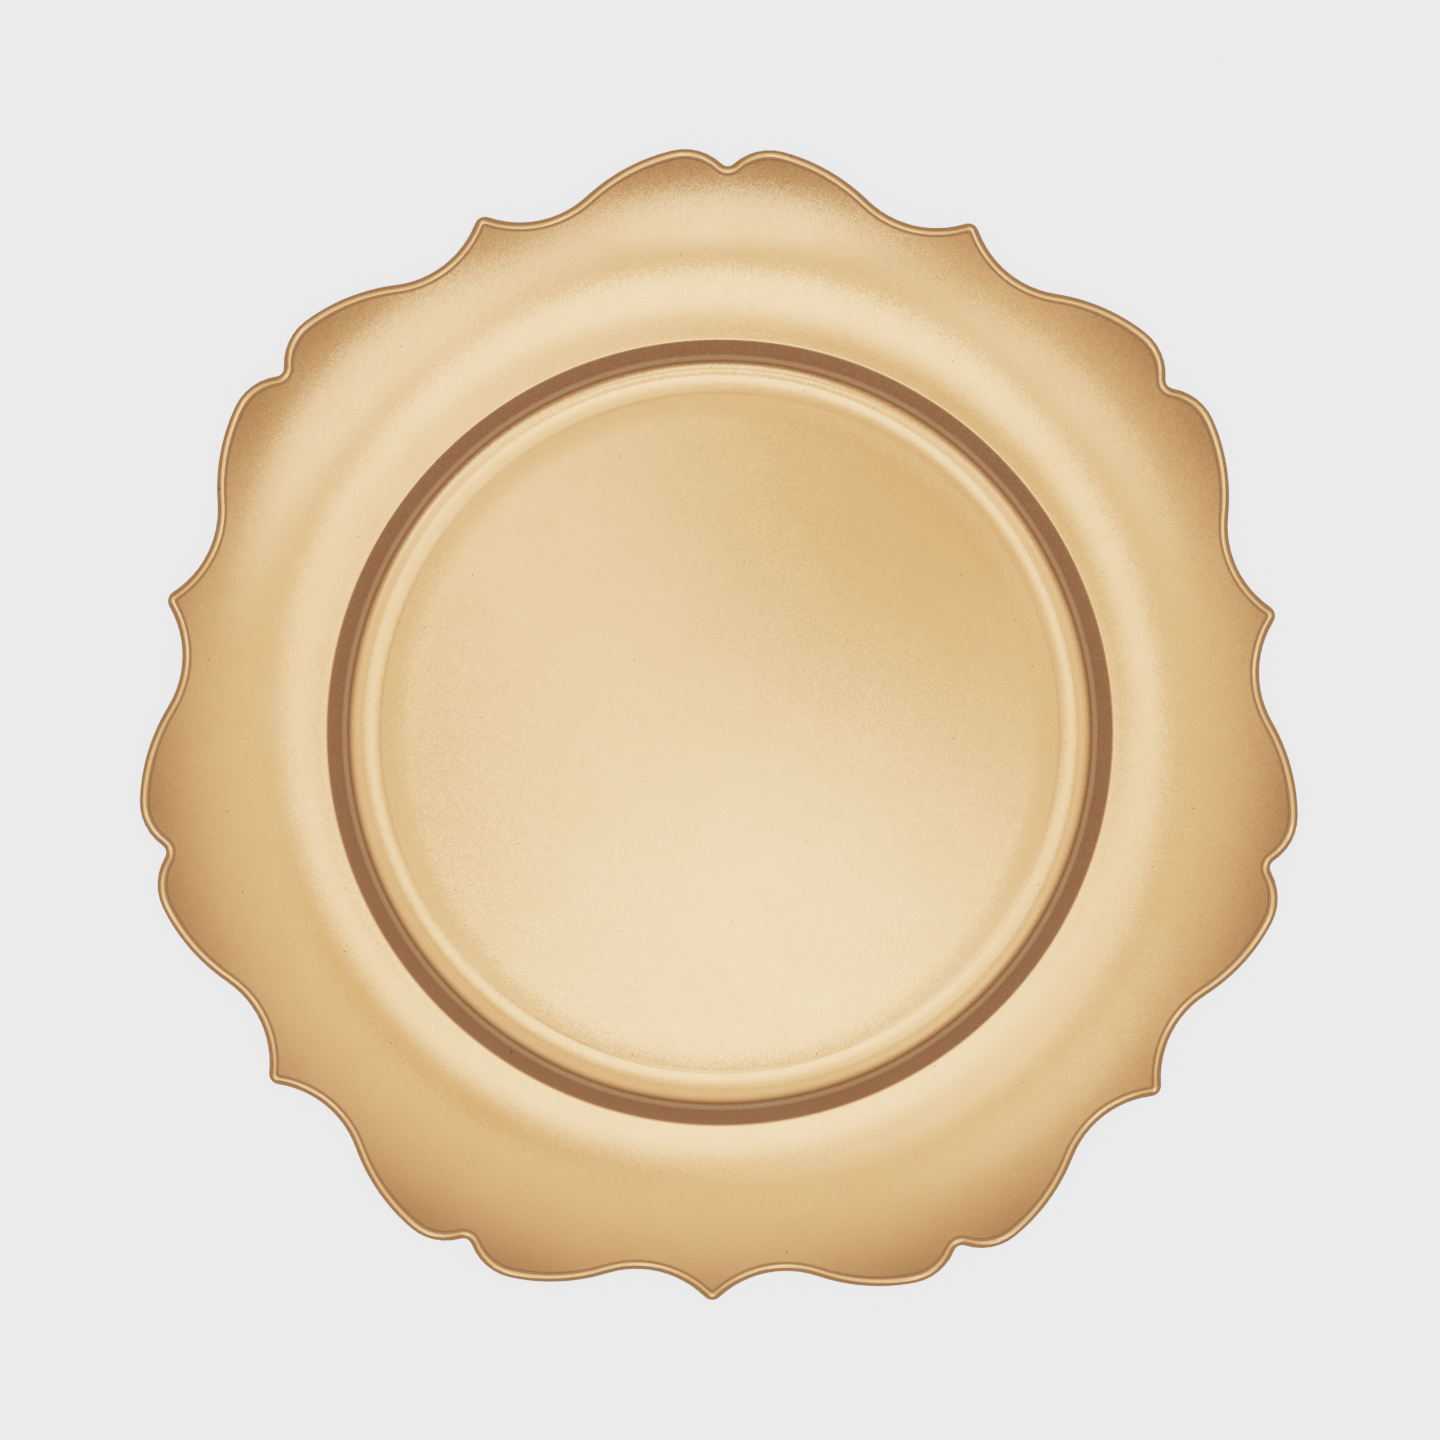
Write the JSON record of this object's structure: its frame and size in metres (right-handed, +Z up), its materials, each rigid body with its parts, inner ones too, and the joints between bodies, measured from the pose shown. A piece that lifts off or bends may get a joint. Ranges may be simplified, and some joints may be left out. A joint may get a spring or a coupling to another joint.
{
  "type": "charger plate",
  "caption": "Round charger plate with a scalloped, beaded edge, a broad upswept rim, a sunken flat well and a low foot ring; also serves as a low cake plate.",
  "frame": {"origin": "on the plate's axis, in the plane that the foot ring rests on", "axes": "+Z up along the plate's axis; one pointed tip of the edge faces -Y and one notch faces +Y"},
  "size_m": [0.3268, 0.3249, 0.0198],
  "materials": {
    "gold_lacquered_plastic": "moulded plastic sprayed with a fine metallic gold lacquer, satin to semi-gloss"
  },
  "bodies": {
    "root": {"plate": "gold_lacquered_plastic"}
  },
  "joints": []
}
